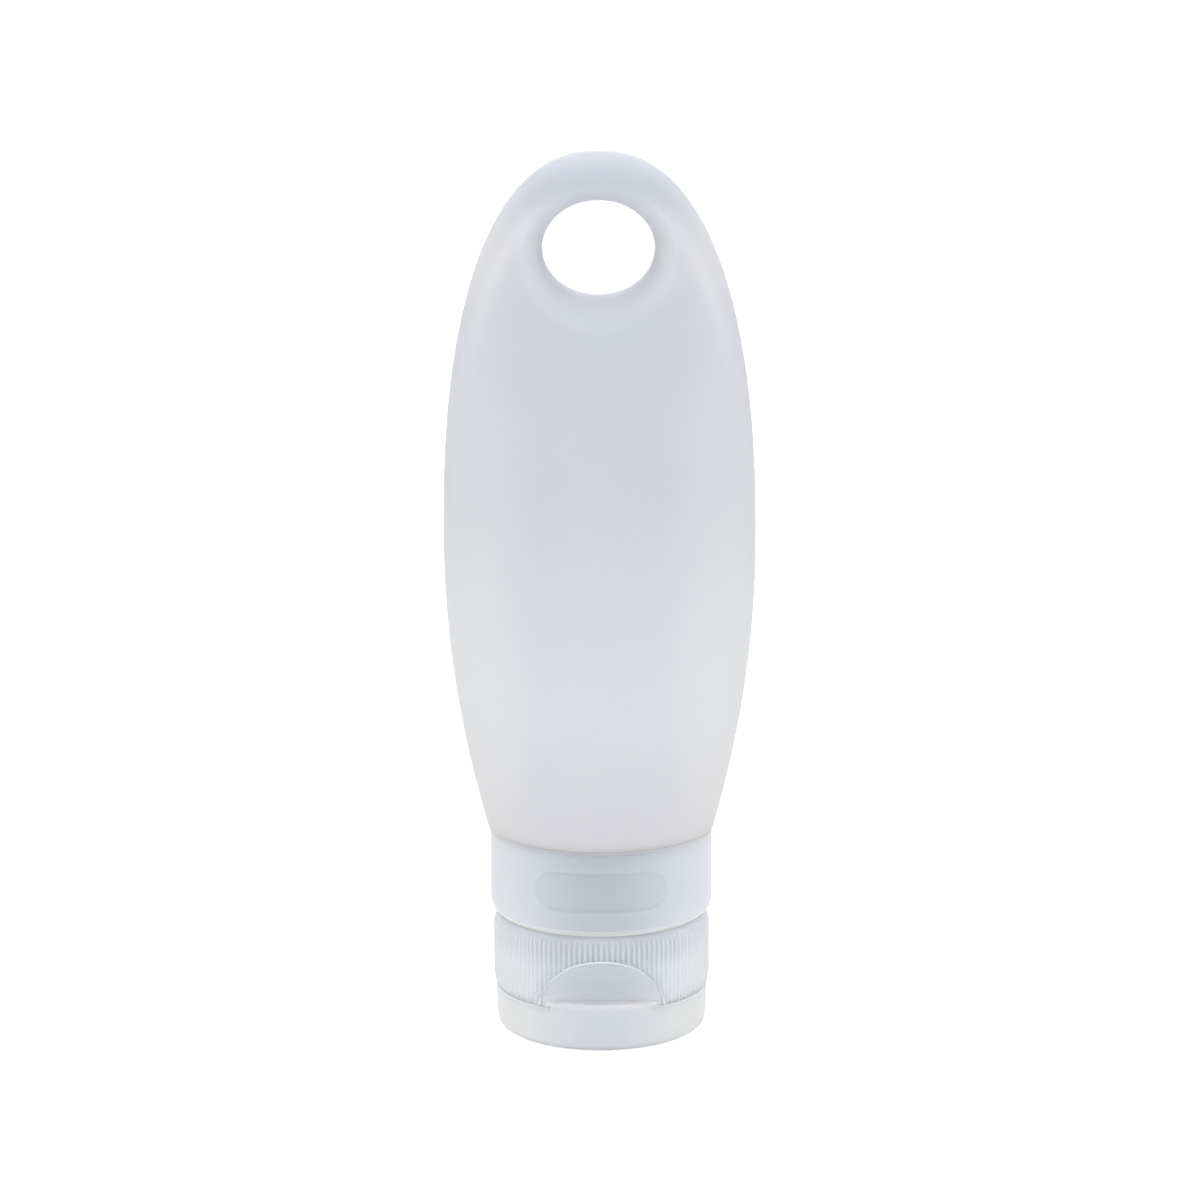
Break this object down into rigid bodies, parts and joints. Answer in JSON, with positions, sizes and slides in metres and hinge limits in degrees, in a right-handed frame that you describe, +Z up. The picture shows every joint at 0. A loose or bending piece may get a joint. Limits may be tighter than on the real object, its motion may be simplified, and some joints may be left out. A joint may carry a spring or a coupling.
{
  "type": "squeeze bottle",
  "caption": "Soft translucent travel squeeze bottle with a hang hole, standing on a ribbed screw cap with a flip lid and a slit valve.",
  "frame": {"origin": "centre of the flat underside of the flip lid, on the floor", "axes": "+Z up along the bottle from the cap to the hang hole, -Y towards the front with the name plate recess and the thumb scoop, +X to the right of the front"},
  "size_m": [0.0526, 0.0384, 0.15],
  "materials": {
    "silicone": "frosted translucent silicone, soft satin",
    "clear_plastic": "natural translucent polypropylene, smooth satin"
  },
  "bodies": {
    "lid": {"flip_lid": "clear_plastic"},
    "cap": {"screw_cap": "clear_plastic", "valve": "silicone", "valve_retainer": "clear_plastic"},
    "seal": {"seal_washer": "silicone"},
    "bottle": {"silicone_body": "silicone", "neck_ring": "clear_plastic", "collar": "clear_plastic"}
  },
  "joints": [
    {"name": "lid_hinge", "type": "hinge", "parent": "lid", "child": "cap", "pos_m": [0, 0.0169, 0.0072], "axis": [-1, 0, 0], "range_deg": [0, 95]},
    {"name": "cap_turn", "type": "hinge", "parent": "cap", "child": "seal", "pos_m": [0, 0, 0], "axis": [0, 0, 1], "range_deg": [0, 720]},
    {"name": "cap_lift", "type": "slide", "parent": "seal", "child": "bottle", "axis": [0, 0, 1], "range_m": [0, 0.0064]}
  ],
  "couplings": [
    {"joint": "cap_lift", "follows": "cap_turn", "m_per_rad": 0.00050929}
  ]
}
